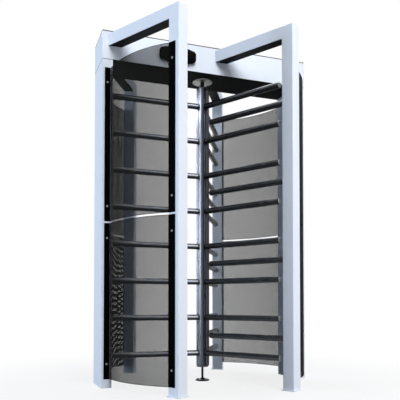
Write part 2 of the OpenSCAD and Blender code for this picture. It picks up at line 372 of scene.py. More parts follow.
@dataclass(frozen=True)
class GroundSteel(Finish):
    """Stainless steel tube, ground along its length and polished.

    The eye sees a dark metal with long fine grinding lines, highlights that run along the
    tube, and the faint smears that hands leave.

    Attributes:
        turn: angle of the tube in plan, in degrees, or None for an upright tube.
        grain_mm: spacing of the grinding lines, drawn coarser than the real 0.3 mm.
        grain: strength of the grinding lines, 1 for a coarse grind.
        line_height_mm: height of the lines.
        line_dark: how much darker than the colour the lines get in a coarse grind.
        line_bright: how much brighter they get.
        stretch: length of a line over its width.
        smear_mm: width of the smears.
        lowest: height in metres of the lowest level bar's middle.
        pitch: distance in metres from one level bar to the next.
        painted_underside_share: brightness of a level bar's underside, painted darker as shade, as a
            share of its upper side.
        rub_from: how far in metres under a bar's middle the painted shade starts to lift.
        rub_to: how far over its middle the painted shade has lifted and it is as bright as on top.
    """

    polish: float = 0.06
    wear: float = 0.08
    turn: float | None = None
    grain_mm: float = 1.6
    grain: float = 1.0
    line_height_mm: float = 0.01
    line_dark: float = 0.16
    line_bright: float = 0.12
    stretch: float = 80.0
    smear_mm: float = 90.0
    lowest: float = 0.0
    pitch: float = 1.0
    painted_underside_share: float = 0.42
    rub_from: float = 9 * MM
    rub_to: float = 1 * MM

    def build(self) -> bpy.types.Material:
        """Makes the material.

        Returns:
            The material.
        """
        material, shader, where = self.start()
        tree = material.node_tree
        shader.inputs["Metallic"].default_value = 1.0
        along = 1 / self.stretch
        if self.turn is None:
            grain_place = add_node(tree, "ShaderNodeMapping",
                                   {"Vector": where, "Scale": (1, 1, along)})
        else:
            squared = add_node(tree, "ShaderNodeMapping",
                               {"Vector": where, "Rotation": (0, 0, -math.radians(self.turn))})
            grain_place = add_node(tree, "ShaderNodeMapping",
                                   {"Vector": squared.outputs[0], "Scale": (along, 1, 1)})
        lines = add_node(tree, "ShaderNodeTexNoise",
                         {"Vector": grain_place.outputs[0], "Scale": per_mm(self.grain_mm),
                          "Detail": 4.0, "Roughness": 0.7})
        smears = add_node(tree, "ShaderNodeTexNoise",
                          {"Vector": where, "Scale": per_mm(self.smear_mm), "Detail": 4.0})
        tone = add_node(tree, "ShaderNodeMapRange",
                        {"Value": lines.outputs["Fac"],
                         "From Min": NOISE_RANGE[0], "From Max": NOISE_RANGE[1],
                         "To Min": 1 - self.line_dark * self.grain,
                         "To Max": 1 + self.line_bright * self.grain})
        colour = add_node(tree, "ShaderNodeVectorMath",
                          {0: srgb(self.colour)[:3], 3: tone.outputs["Result"]},
                          operation="SCALE")
        # Painted shade: a level bar's underside is darkened against its upper side
        if self.turn is not None:
            underside_shade = self.underside_shade(tree, where)
            colour = add_node(tree, "ShaderNodeVectorMath",
                              {0: colour.outputs[0], 3: underside_shade}, operation="SCALE")
        tree.links.new(colour.outputs[0], shader.inputs["Base Color"])
        dull = add_node(tree, "ShaderNodeMath",
                        {0: lines.outputs["Fac"], 1: smears.outputs["Fac"]}, operation="ADD")
        self.detail(shader, dull.outputs[0], (2 * NOISE_RANGE[0], 2 * NOISE_RANGE[1]),
                    lines.outputs["Fac"], strength=0.3 * self.grain,
                    depth_mm=self.line_height_mm)
        return material

    def underside_shade(self, tree: bpy.types.NodeTree,
               where: bpy.types.NodeSocket) -> bpy.types.NodeSocket:
        """Paints shade on the underside of each level bar, which comes out darker than its upper side.

        Args:
            tree: the node tree of the material.
            where: the socket of the object's coordinates.

        Returns:
            The brightness of the surface, 1 on a bar's upper side.
        """
        middle = self.pitch / 2
        height = add_node(tree, "ShaderNodeSeparateXYZ", {0: where}).outputs["Z"]
        shifted = add_node(tree, "ShaderNodeMath",
                           {0: height, 1: middle - self.lowest}, operation="ADD")
        in_pitch = add_node(tree, "ShaderNodeMath",
                            {0: shifted.outputs[0], 1: self.pitch}, operation="MODULO")
        return add_node(tree, "ShaderNodeMapRange",
                        {"Value": in_pitch.outputs[0],
                         "From Min": middle - self.rub_from, "From Max": middle + self.rub_to,
                         "To Min": self.painted_underside_share, "To Max": 1.0},
                        interpolation_type="SMOOTHSTEP").outputs["Result"]


@dataclass(frozen=True)
class TurnedSteel(Finish):
    """Steel turned on a lathe and oiled.

    The eye sees a grey metal with fine rings round the turning axis.

    Attributes:
        metallic: share of bare metal beneath the film of oil.
        ring_mm: spacing of the rings, drawn much coarser than the real 0.2 mm.
        ring_height_mm: height of the rings.
        spot_mm: width of the spots of oil.
    """

    polish: float = 0.05
    metallic: float = 0.9
    ring_mm: float = 15.7
    ring_height_mm: float = 0.02
    spot_mm: float = 12.0

    def build(self) -> bpy.types.Material:
        """Makes the material.

        Returns:
            The material.
        """
        material, shader, where = self.start()
        tree = material.node_tree
        shader.inputs["Metallic"].default_value = self.metallic
        # A wave node at a scale of 1 has its rings 2 pi / 20 apart
        rings = add_node(tree, "ShaderNodeTexWave",
                         {"Vector": where, "Scale": per_mm(self.ring_mm) * 2 * math.pi / 20,
                          "Distortion": 0.6, "Detail": 2.0, "Detail Scale": 40.0},
                         wave_type="RINGS", rings_direction="Z")
        spots = add_node(tree, "ShaderNodeTexNoise",
                         {"Vector": where, "Scale": per_mm(self.spot_mm), "Detail": 5.0})
        self.detail(shader, spots.outputs["Fac"], NOISE_RANGE, rings.outputs["Fac"],
                    strength=0.25, depth_mm=self.ring_height_mm)
        return material


@dataclass(frozen=True)
class MouldedPlastic(Finish):
    """Injection-moulded polycarbonate, black and satin.

    The eye sees a deep black that mirrors little, very slight sink ripples and dust.

    Attributes:
        ior: refractive index, 1.58 for polycarbonate.
        ripple_mm: width of one ripple.
        ripple_height_mm: height of the ripples.
        dust_mm: width of the specks of dust.
        dust_range: the range of the noise over which the dust thickens.
    """

    wear: float = 0.12
    ior: float = 1.58
    ripple_mm: float = 40.0
    ripple_height_mm: float = 0.1
    dust_mm: float = 3.0
    dust_range: tuple[float, float] = (0.4, 0.8)

    def build(self) -> bpy.types.Material:
        """Makes the material.

        Returns:
            The material.
        """
        material, shader, where = self.start()
        tree = material.node_tree
        shader.inputs["IOR"].default_value = self.ior
        ripples = add_node(tree, "ShaderNodeTexNoise",
                           {"Vector": where, "Scale": per_mm(self.ripple_mm), "Detail": 1.0})
        dust = add_node(tree, "ShaderNodeTexNoise",
                        {"Vector": where, "Scale": per_mm(self.dust_mm), "Detail": 6.0})
        self.detail(shader, dust.outputs["Fac"], self.dust_range, ripples.outputs["Fac"],
                    strength=0.2, depth_mm=self.ripple_height_mm)
        return material


# Pale grey polyester coat of the header, pillars and posts: bright, cool and satin
PALE_COAT = PowderCoat("pale_polyester_coat", "e8eff8", 0.45, specular=0.1, shade="c6d0de",
                       scuff=0.15)
# The same coat on the beams, which mirror a little less; Housing paints shade beneath them in the dark
# underside colour
BEAM_COAT = replace(PALE_COAT, name="pale_coat_dark_beneath", specular=0.05)
# Dark coat inside the passage, under the header, painted there as shade: matt, so that it shows no light
# from below
UNDERSIDE_SHADE_COAT = PowderCoat("dark_matt_coat", "141616", 0.75, specular=0.08,
                            shade=UNDERSIDE_SHADE_COLOUR, scuff=0.0)
# The lid's edge, in a dark grey coat that draws a thin line round the header
LID_COAT = PowderCoat("grey_lid_coat", "2e3232", 0.6, specular=0.1, shade="262a2a",
                      scuff=0.0)
# Black coat of the perforated sheets: dull, so that the holes stay readable
GUARD_COAT = PowderCoat("black_guard_coat", "0a0c0a", 0.7, specular=0.05, shade="060706",
                        peel_mm=3.0)
# Black coat of the clamp strips: deeper and a little glossier
STRIP_COAT = PowderCoat("black_strip_coat", "020203", 0.55, specular=0.012, shade="060608",
                        scuff=0.3)
# Stainless tube of the column, upright and lightly brushed
COLUMN_STEEL = GroundSteel("column_stainless_tube", "4e5157", 0.3, grain=0.4)
# Stainless tube of the level bars: dark and polished, with a sharp bright line on top and painted shade on
# the underside
BAR_STEEL = GroundSteel("dark_tube", "56595d", 0.24, grain=0.3)
# Pressed stainless caps in the bars' ends, brighter than the bars
CAP_STEEL = TurnedSteel("stainless_caps", "b9bcbe", 0.3)
# Welds of the comb bars, ground little and coated with the post
WELD_COAT = PowderCoat("pale_coat_on_welds", "dfe6f0", 0.5, shade="b4bfcd")
# Polished machine screws and anchors, which catch the light as bright dots
SCREW_STEEL = TurnedSteel("stainless_screws", "96989a", 0.34, ring_mm=6.28)
# Bearing flange under the header, turned and dull
BEARING_STEEL = TurnedSteel("turned_bearing_steel", "a9aaa6", 0.45)
# Shaft, pin and floor flange in dark oiled steel
DARK_STEEL = TurnedSteel("dark_oiled_steel", "26282a", 0.4)
# Indicator housing, a dull black, and its smoked lens, a deeper one
HOUSING_PLASTIC = MouldedPlastic("black_housing_plastic", "040405", 0.4, specular=0.02)
LENS_PLASTIC = MouldedPlastic("smoked_lens_plastic", "020203", 0.3, specular=0.02)


# ---- words of the nodes' names ----

class Named(Enum):
    """A choice whose name is a word of the nodes' names."""

    @property
    def word(self) -> str:
        """The word, in small letters."""
        return self.name.lower()


class Face(Named):
    """The two like faces of the machine, by the sign of their side on Y."""

    FRONT = -1
    REAR = 1


class Hand(Named):
    """The two hands of the machine, by the sign of their side on X."""

    LEFT = -1
    RIGHT = 1


class Tier(Named):
    """The two sheets of one guard, one above the other."""

    LOWER = 0
    UPPER = 1


# ---- header, pillars, posts and beams ----

@dataclass
class Housing:
    """The box header on its two end pillars, and the posts and beams in front and behind.

    Attributes:
        fold_radius: radius of the folded sheet's outer edges.
    """

    fold_radius: float = 1.2 * MM

    def build(self) -> None:
        """Dresses the header's panels, the pillars, the posts and the beams."""
        coat = PALE_COAT.build()
        for part in ("front_panel", "rear_panel", "left_end", "right_end"):
            dress(f"header_{part}", coat, self.fold_radius)
        # The header's underside gets a dark coat as painted shade
        dress("header_underside", UNDERSIDE_SHADE_COAT.build())
        dress("header_lid", LID_COAT.build(), self.fold_radius)
        # The beams get painted shade on their undersides, up to the height of their lower face
        beam_coat = replace(BEAM_COAT, dark_below=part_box("front_left_beam")[0].z).build()
        for hand in Hand:
            dress(f"{hand.word}_pillar", coat)
            for face in Face:
                dress(f"{face.word}_{hand.word}_post", coat)
                dress(f"{face.word}_{hand.word}_beam", beam_coat)


# ---- guards ----

@dataclass
class Arc:
    """The rolled line of a guard sheet in plan.

    Attributes:
        centre: the arc's centre on X and Y.
        inner: radius of the sheet's inner face.
        outer: radius of the sheet's outer face.
        start: angle of one end, in radians.
        sweep: signed angle to the other end.
        bottom: height of the sheet's lower edge.
        top: height of its upper edge.
    """

    centre: Vector
    inner: float
    outer: float
    start: float
    sweep: float
    bottom: float
    top: float

    @classmethod
    def of_node(cls, node: str) -> "Arc":
        """Reads the arc of a packed guard sheet from its own points.

        Args:
            node: the sheet's name.

        Returns:
            The arc.
        """
        points = np.array([vert.co[:2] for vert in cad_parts[node].data.vertices], float)
        on_circle = points
        # The first circle runs between the sheet's two faces, the second is the outer face
        for _ in range(2):
            rows = np.c_[2 * on_circle, np.ones(len(on_circle))]
            centre = np.linalg.lstsq(rows, (on_circle ** 2).sum(1), rcond=None)[0][:2]
            reach = np.hypot(*(points - centre).T)
            on_circle = points[reach > (reach.min() + reach.max()) / 2]
        angles = np.arctan2(*(points - centre).T[::-1])
        middle = math.atan2(*(points.mean(0) - centre)[::-1])
        offsets = (angles - middle + math.pi) % (2 * math.pi) - math.pi
        low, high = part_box(node)
        return cls(Vector((*centre, 0)), reach.min(), reach.max(),
                   middle + offsets.min(), offsets.max() - offsets.min(), low.z, high.z)

    @property
    def length(self) -> float:
        """Length of the sheet along the middle of its thickness."""
        return abs(self.sweep) * (self.inner + self.outer) / 2

    def wrap(self, flat: Vector) -> Vector:
        """Rolls a point of the flat sheet onto the arc.

        Args:
            flat: distance along the sheet, depth in its thickness and height on it.

        Returns:
            The point in place.
        """
        angle = self.start + self.sweep * flat.x / self.length
        radius = (self.inner + self.outer) / 2 + flat.y
        return self.centre + Vector((radius * math.cos(angle), radius * math.sin(angle),
                                     self.bottom + flat.z))


@dataclass
class PerforatedSheet:
    """A rolled steel sheet with close-set square holes that stand on their corners.

    What is left between the holes are two sets of narrow webs that cross at a right angle,
    so the sheet is built from its webs and from the plain margin round them.

    Attributes:
        pitch: distance between neighbouring holes.
        web: width of the steel between two holes.
        margin: width of the plain margin.
        thickness: thickness of the sheet, which lies in the middle of the plain one.
        crossing: thickness of the second set of webs over the first's, so that no two
            faces lie in one plane.
        edging: thickness of the margin over the webs', for the same reason.
        facet: length of a straight piece along the roll.
    """

    pitch: float = 5.6 * MM
    web: float = 2.5 * MM
    margin: float = 3 * MM
    thickness: float = 0.7 * MM
    crossing: float = 0.94
    edging: float = 1.06
    facet: float = 36 * MM

    def strip(self, length: float, width: float, thickness: float) -> bmesh.types.BMesh:
        """Makes a flat strip along X, centred on the origin and cut into facets.

        Args:
            length: its length.
            width: its width, on Z.
            thickness: its thickness, on Y.

        Returns:
            The strip's mesh.
        """
        bm = bmesh.new()
        bmesh.ops.create_cube(bm, size=1, matrix=Matrix.Diagonal((length, thickness, width, 1)))
        along = [edge for edge in bm.edges
                 if abs(edge.verts[0].co.x - edge.verts[1].co.x) > length / 2]
        bmesh.ops.subdivide_edges(bm, edges=along, cuts=math.ceil(length / self.facet))
        return bm

    def webs(self, length: float, height: float) -> bmesh.types.BMesh:
        """Makes one set of parallel webs, cut off inside the margin.

        Args:
            length: length of the flat sheet.
            height: its height.

        Returns:
            The webs' mesh.
        """
        rise = self.pitch * math.sqrt(2)
        slope = Matrix.Rotation(math.radians(45), 4, "Y")
        count = math.ceil((height + length) / rise)
        places = [Matrix.Translation((length / 2, 0, rise * index - length / 2)) @ slope
                  for index in range(count + 1)]
        bm = copies(self.strip(length * math.sqrt(2), self.web, self.thickness), places)
        inset = self.margin / 2
        borders = [((inset, 0, 0), (-1, 0, 0)), ((length - inset, 0, 0), (1, 0, 0)),
                   ((0, 0, inset), (0, 0, -1)), ((0, 0, height - inset), (0, 0, 1))]
        for at, outward in borders:
            bmesh.ops.bisect_plane(bm, geom=bm.verts[:] + bm.edges[:] + bm.faces[:],
                                   plane_co=at, plane_no=outward, clear_outer=True)
            bmesh.ops.holes_fill(bm, edges=[edge for edge in bm.edges if edge.is_boundary],
                                 sides=0)
        return bm

    def flat(self, length: float, height: float) -> bmesh.types.BMesh:
        """Makes the flat sheet, with its length on X, its height on Z and its middle at Y 0.

        Args:
            length: length of the sheet.
            height: height of the sheet.

        Returns:
            The sheet's mesh.
        """
        bm = self.webs(length, height)
        second = bmesh.ops.duplicate(bm, geom=bm.verts[:] + bm.edges[:] + bm.faces[:])["geom"]
        bmesh.ops.scale(bm, vec=(-1, self.crossing, 1),
                        space=Matrix.Translation((-length / 2, 0, 0)),
                        verts=[item for item in second if isinstance(item, bmesh.types.BMVert)])
        rim = self.margin / 2
        edges = [(length, Matrix.Translation((length / 2, 0, rim))),
                 (length, Matrix.Translation((length / 2, 0, height - rim))),
                 (height, Matrix.Translation((rim, 0, height / 2)) @ QUARTER_TURN),
                 (height, Matrix.Translation((length - rim, 0, height / 2)) @ QUARTER_TURN)]
        for span, place in edges:
            join(bm, self.strip(span, self.margin, self.thickness * self.edging), [place])
        bmesh.ops.triangulate(bm, faces=bm.faces)
        return bm

    def build(self, node: str, material: bpy.types.Material) -> None:
        """Makes the perforated sheet that stands for a plain guard node.

        Args:
            node: the guard node.
            material: its finish.
        """
        arc = Arc.of_node(node)
        bm = self.flat(arc.length, arc.top - arc.bottom)
        for vert in bm.verts:
            vert.co = arc.wrap(vert.co)
        sheet = add_piece(node.replace("guard", "perforated_guard"), bm, material, "frame")
        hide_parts(node)


@dataclass
class ButtonScrew:
    """A button-head screw with a hexagon socket, seated on +Z.

    Attributes:
        head_radius: radius of the head.
        head_height: height of the head.
        socket_radius: distance from the axis to the socket's corners.
        socket_depth: depth of the socket.
        facets: number of facets round the head.
    """

    head_radius: float = 7.0 * MM
    head_height: float = 4.2 * MM
    socket_radius: float = 2.9 * MM
    socket_depth: float = 2.4 * MM
    facets: int = 18

    def mesh(self) -> bmesh.types.BMesh:
        """Makes one screw head.

        Returns:
            The mesh, with its seat at Z 0.
        """
        # The crown bulges from just over its foot to three quarters of its quarter circle,
        # and runs on to a rim a quarter wider than the socket
        bulge = [(self.head_radius * math.cos(turn), self.head_height * math.sin(turn))
                 for turn in np.linspace(0.12, 0.75 * math.pi / 2, 5)]
        rim = (self.socket_radius * 1.25, self.head_height)
        bm = turned([(0, 0), (self.head_radius, 0), *bulge, rim], self.facets)
        rim_edges = [edge for edge in bm.edges if edge.is_boundary]
        socket = bmesh.ops.create_circle(
            bm, segments=6, radius=self.socket_radius,
            matrix=Matrix.Translation((0, 0, self.head_height)))["verts"]
        socket_edges = [edge for edge in bm.edges if edge.verts[0] in socket]
        bmesh.ops.bridge_loops(bm, edges=rim_edges + socket_edges)
        walls = bmesh.ops.extrude_edge_only(bm, edges=socket_edges)["geom"]
        floor = [item for item in walls if isinstance(item, bmesh.types.BMVert)]
        bmesh.ops.translate(bm, verts=floor, vec=(0, 0, -self.socket_depth))
        bmesh.ops.contextual_create(bm, geom=floor)
        return bm


@dataclass
class Guards:
    """The eight perforated sheets, their clamp strips and the screws in the strips.

    Attributes:
        sheet: the perforated sheet.
        screw: the screw in the strips.
        screw_inset: distance of the screws from the ends of a strip.
        strip_edge: radius of the strips' edges.
    """

    sheet: PerforatedSheet = field(default_factory=PerforatedSheet)
    screw: ButtonScrew = field(default_factory=ButtonScrew)
    screw_inset: float = 97 * MM
    strip_edge: float = 0.8 * MM

    def build(self) -> None:
        """Makes the sheets and screws, and dresses the strips."""
        mesh_coat, strip_coat, screw_steel = (finish.build() for finish in
                                              (GUARD_COAT, STRIP_COAT, SCREW_STEEL))
        for face in Face:
            for hand in Hand:
                corner = f"{face.word}_{hand.word}"
                for tier in Tier:
                    self.sheet.build(f"{corner}_guard_{tier.word}", mesh_coat)
                dress(f"{corner}_strips", strip_coat, self.strip_edge)
                self.build_screws(corner, screw_steel)

    def strips(self, corner: str) -> list[tuple[Vector, Vector, float, float]]:
        """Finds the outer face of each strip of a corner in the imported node.

        Args:
            corner: the corner's words, such as "front_left".

        Returns:
            For each strip, the centre of its outer face, its normal, and its ends in height.
        """
        bm = bmesh.new()
        bm.from_mesh(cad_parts[f"{corner}_strips"].data)
        bmesh.ops.remove_doubles(bm, verts=bm.verts, dist=SAME_POINT)
        found = []
        seen = set()
        for first in bm.verts:
            if first in seen:
                continue
            seen.add(first)
            strip = [first]
            # The list grows while it is read, until it holds the whole strip
            for vert in strip:
                near = [edge.other_vert(vert) for edge in vert.link_edges]
                strip += [other for other in near if other not in seen]
                seen.update(near)
            centre = sum((vert.co for vert in strip), Vector()) / len(strip)
            broad = max((face for vert in strip for face in vert.link_faces),
                        key=lambda face: face.calc_area() * (face.normal @ centre > 0))
            depth = (broad.calc_center_median() - centre) @ broad.normal
            heights = [vert.co.z for vert in strip]
            found.append((centre + depth * broad.normal, broad.normal.copy(),
                          min(heights), max(heights)))
        bm.free()
        return found

    def build_screws(self, corner: str, material: bpy.types.Material) -> None:
        """Puts two screws in each strip of a corner, as one piece.

        Args:
            corner: the corner's words, such as "front_left".
            material: the screws' finish.
        """
        places = [facing(normal, Vector((centre.x, centre.y, height)))
                  for centre, normal, bottom, top in self.strips(corner)
                  for height in (bottom + self.screw_inset, top - self.screw_inset)]
        add_piece(f"{corner}_screws", copies(self.screw.mesh(), places), material, "frame")


# ---- rotor and combs ----

@dataclass
class TubeCap:
    """A pressed steel cap in the end of a bar, seated on +Z.

    Attributes:
        radius: radius of the cap.
        height: how far its rim stands proud of the tube's end.
        crown: height of its middle over its rim's.
        facets: number of facets round the cap.
    """

    radius: float = 19.4 * MM
    height: float = 2.2 * MM
    crown: float = 1.15
    facets: int = 32

    def mesh(self) -> bmesh.types.BMesh:
        """Makes one cap.

        Returns:
            The mesh, with its seat at Z 0.
        """
        rim = [(self.radius - self.height * (1 - math.cos(turn)), self.height * math.sin(turn))
               for turn in np.linspace(0, math.pi / 2, 4)]
        return turned([(0, 0), *rim, (0, self.height * self.crown)], self.facets)


@dataclass
class WeldBead:
    """A fillet weld round a bar where it meets a flat face, with its ring round +Z.

    Attributes:
        radius: radius of the bar.
        leg: size of the fillet.
        throat: reach and height of the bead's middle, as a share of the leg.
        ripple: how far each second ripple stands out, as a share of the leg.
        facets: number of ripples round the bar.
    """

    radius: float = 20 * MM
    leg: float = 4 * MM
    throat: float = 0.62
    ripple: float = 0.25
    facets: int = 40

    def mesh(self) -> bmesh.types.BMesh:
        """Makes one bead.

        Returns:
            The mesh, with the flat face at Z 0.
        """
        middle = self.throat * self.leg
        profile = [(self.radius, 0), (self.radius + self.leg, 0),
                   (self.radius + middle, middle), (self.radius, self.leg)]
        bm = turned([*profile, profile[0]], self.facets)
        spread = 1 + self.ripple * self.leg / self.radius
        for vert in bm.verts:
            facet = round(math.atan2(vert.co.y, vert.co.x) / (2 * math.pi) * self.facets)
            if facet % 2 and vert.co.z > 0:
                vert.co.xy *= spread
        return bm


@dataclass
class BarSet:
    """A set of level bars that lie one above the other.

    Attributes:
        node: the CAD node that holds the bars.
        body: the body that it moves with.
        turn: direction of the bars in plan, away from the rotor's axis, in degrees.
        pitch: height from one bar to the next.
        radius: radius of a bar.
        free_end_outside: whether the free end is the one away from the axis.
        cap: the cap in each free end.
        bead: the weld round each bar of a comb, at its post.
    """

    node: str
    body: str
    turn: float
    pitch: float = 250 * MM
    radius: float = 20 * MM
    free_end_outside: bool = True
    cap: TubeCap = field(default_factory=TubeCap)
    bead: WeldBead = field(default_factory=WeldBead)

    @property
    def outward(self) -> Vector:
        """Unit vector along the bars, away from the rotor's axis."""
        return Vector((math.cos(math.radians(self.turn)), math.sin(math.radians(self.turn)), 0))

    def ends(self, outside: bool) -> list[Vector]:
        """Finds the centres of the bars' ends.

        Args:
            outside: whether to give the ends away from the axis.

        Returns:
            One point for each bar, from the lowest up.
        """
        reaches = [vert.co.dot(self.outward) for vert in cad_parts[self.node].data.vertices]
        reach = max(reaches) if outside else min(reaches)
        low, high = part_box(self.node)
        lowest = low.z + self.radius
        levels = round((high.z - self.radius - lowest) / self.pitch) + 1
        return [self.outward * reach + Vector((0, 0, lowest + self.pitch * level))
                for level in range(levels)]

    def add(self, word: str, pattern: bmesh.types.BMesh, outside: bool, normal: Vector,
            material: bpy.types.Material) -> None:
        """Puts one copy of a small shape at each bar's end, as one piece.

        Args:
            word: the last word of the piece's name.
            pattern: the shape, with its seat at Z 0.
            outside: whether it goes on the ends away from the axis.
            normal: direction that the shape's +Z turns to.
            material: its finish.
        """
        places = [facing(normal, end) for end in self.ends(outside)]
        add_piece(f"{self.node}_{word}", copies(pattern, places), material, self.body)

    def build(self, cap_steel: bpy.types.Material, bead_coat: bpy.types.Material) -> None:
        """Dresses the bars and gives them their caps, and a comb its welds.

        Args:
            cap_steel: finish of the caps.
            bead_coat: finish of the welds at a comb's posts.
        """
        steel = replace(BAR_STEEL, name=f"dark_tube_of_{self.node}", turn=self.turn,
                        lowest=self.ends(True)[0].z, pitch=self.pitch)
        dress(self.node, steel.build())
        free = self.outward if self.free_end_outside else -self.outward
        self.add("caps", self.cap.mesh(), self.free_end_outside, free, cap_steel)
        if not self.free_end_outside:
            self.add("welds", self.bead.mesh(), True, -self.outward, bead_coat)


@dataclass
class Rotor:
    """The rotor's column, its three wings and the two combs that they pass between.

    Attributes:
        wings: direction of each wing in plan at rest, by node.
        combs: direction of each comb in plan, by node.
        comb_pitch: height from one bar of a comb to the next.
        plate_edge: radius of the edges of the column's plates.
    """

    wings: dict[str, float] = field(default_factory=lambda: {
        "wing_left": 180.0, "wing_front": -60.0, "wing_rear": 60.0})
    combs: dict[str, float] = field(default_factory=lambda: {
        "comb_front": -60.0, "comb_rear": 60.0})
    comb_pitch: float = 500 * MM
    plate_edge: float = 0.8 * MM

    def build(self) -> None:
        """Dresses the column and builds the sets of bars."""
        column = COLUMN_STEEL.build()
        for side in ("front", "right", "rear"):
            dress(f"column_tube_{side}", column)
        for end in ("top", "bottom"):
            dress(f"column_{end}_plate", column, self.plate_edge)
        finishes = CAP_STEEL.build(), WELD_COAT.build()
        for node, turn in self.wings.items():
            BarSet(node, "rotor", turn).build(*finishes)
        for node, turn in self.combs.items():
            BarSet(node, "frame", turn, self.comb_pitch, free_end_outside=False).build(*finishes)


# ---- bearings and indicators ----

@dataclass
class Bearings:
    """The bearing under the header, the pivot on the floor, and their fasteners.

    Attributes:
        flange_screws: number of screws in the upper flange.
        flange_circle: radius of the circle that they lie on.
        flange_screw: one of these screws.
        anchor_circle: radius of the circle of the floor anchors.
        anchor_turns: angle of each anchor, in degrees.
        anchor_seat: height of the floor flange's upper side.
        anchor_flats: width of an anchor's head across its flats.
        anchor_head: height of its head.
        anchor_edge: width of the chamfer round its top.
        washer_radius: radius of its washer.
        washer_thickness: thickness of its washer.
        washer_facets: number of facets round the washer.
        flange_edge: radius of the upper flange's edges.
        pivot_edge: radius of the floor flange's edges.
    """

    flange_screws: int = 6
    flange_circle: float = 56 * MM
    flange_screw: ButtonScrew = field(default_factory=lambda: ButtonScrew(
        head_radius=5.2 * MM, head_height=3.0 * MM))
    anchor_circle: float = 35 * MM
    anchor_turns: tuple[float, ...] = (45, 135, 225, 315)
    anchor_seat: float = 8 * MM
    anchor_flats: float = 13 * MM
    anchor_head: float = 5.3 * MM
    anchor_edge: float = 0.7 * MM
    washer_radius: float = 8 * MM
    washer_thickness: float = 1.6 * MM
    washer_facets: int = 24
    flange_edge: float = 0.8 * MM
    pivot_edge: float = 0.6 * MM

    def build(self) -> None:
        """Dresses the bearings and adds their screws and anchors."""
        screws = SCREW_STEEL.build()
        dark = DARK_STEEL.build()
        dress("top_bearing", BEARING_STEEL.build(), self.flange_edge)
        dress("rotor_shaft", dark)
        dress("rotor_pin", dark)
        dress("floor_pivot", dark, self.pivot_edge)
        turns = [360 * (index + 0.5) / self.flange_screws for index in range(self.flange_screws)]
        places = self.ring(turns, self.flange_circle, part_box("top_bearing")[0].z, -1)
        add_piece("top_bearing_screws", copies(self.flange_screw.mesh(), places), screws,
                  "frame")
        places = self.ring(self.anchor_turns, self.anchor_circle, self.anchor_seat, 1)
        add_piece("floor_anchors", copies(self.anchor(), places), screws, "frame")

    @staticmethod
    def ring(turns: tuple[float, ...] | list[float], radius: float, height: float,
             up: int) -> list[Matrix]:
        """Gives the matrix of each fastener on a circle round the rotor's axis.

        Args:
            turns: angle of each fastener, in degrees.
            radius: radius of the circle.
            height: height of the circle.
            up: 1 for fasteners that stand up, -1 for those that hang down.

        Returns:
            The matrices.
        """
        return [facing(Vector((0, 0, up)), Vector((radius * math.cos(math.radians(turn)),
                                                   radius * math.sin(math.radians(turn)),
                                                   height))) for turn in turns]

    def anchor(self) -> bmesh.types.BMesh:
        """Makes a hexagon head on its washer.

        Returns:
            The mesh, with the washer's seat at Z 0.
        """
        bm = turned([(0, 0), (self.washer_radius, 0), (self.washer_radius, self.washer_thickness),
                     (0, self.washer_thickness)], self.washer_facets)
        corner = self.anchor_flats / math.sqrt(3)
        bmesh.ops.create_cone(
            bm, cap_ends=True, segments=6, radius1=corner, radius2=corner,
            depth=self.anchor_head,
            matrix=Matrix.Translation((0, 0, self.washer_thickness + self.anchor_head / 2)))
        crown = self.washer_thickness + self.anchor_head - SAME_POINT
        rim = [edge for edge in bm.edges if all(end.co.z > crown for end in edge.verts)]
        bmesh.ops.bevel(bm, geom=rim, offset=self.anchor_edge, affect="EDGES", segments=2,
                        profile=0.5, material=-1)
        return bm


@dataclass
class Indicator:
    """A barrel-shaped indicator housing with a raised smoked lens.

    Attributes:
        face: the face of the header that it is on.
        housing_edge: radius of the housing's edges.
        lens_margin: width of the housing's rim round the lens.
        lens_height: how far the lens stands proud.
        lens_edge: radius of the lens's edge.
    """

    face: Face
    housing_edge: float = 3 * MM
    lens_margin: float = 9 * MM
    lens_height: float = 3 * MM
    lens_edge: float = 2 * MM

    def build(self, housing: bpy.types.Material, lens: bpy.types.Material) -> None:
        """Dresses the housing and adds the lens.

        Args:
            housing: finish of the housing.
            lens: finish of the lens.
        """
        node = f"{self.face.word}_indicator"
        dress(node, housing, self.housing_edge)
        outward = Vector((0, self.face.value, 0))
        bm = bmesh.new()
        bm.from_mesh(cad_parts[node].data)
        bmesh.ops.remove_doubles(bm, verts=bm.verts, dist=SAME_POINT)
        bm.normal_update()
        rest = [part for part in bm.faces if part.normal @ outward < LOOKS_ALONG]
        bmesh.ops.delete(bm, geom=rest, context="FACES")
        outline = bmesh.ops.dissolve_faces(bm, faces=bm.faces)["region"]
        rim = bmesh.ops.inset_region(bm, faces=outline, thickness=self.lens_margin,
                                     use_even_offset=True)["faces"]
        bmesh.ops.delete(bm, geom=rim, context="FACES")
        raised = bmesh.ops.extrude_face_region(bm, geom=bm.faces, use_keep_orig=True)["geom"]
        verts = [item for item in raised if isinstance(item, bmesh.types.BMVert)]
        bmesh.ops.translate(bm, verts=verts, vec=outward * self.lens_height)
        top = [edge for edge in bm.edges if all(end in verts for end in edge.verts)]
        bmesh.ops.bevel(bm, geom=top, offset=self.lens_edge, affect="EDGES", segments=3,
                        profile=0.5, material=-1)
        add_piece(f"{node}_lens", bm, lens, "frame")


# ---- studio ----

class Reach(Enum):
    """What a lamp does: it lights surfaces, or it shows in the polished ones."""

    SURFACES = "surfaces"
    REFLECTIONS = "reflections"


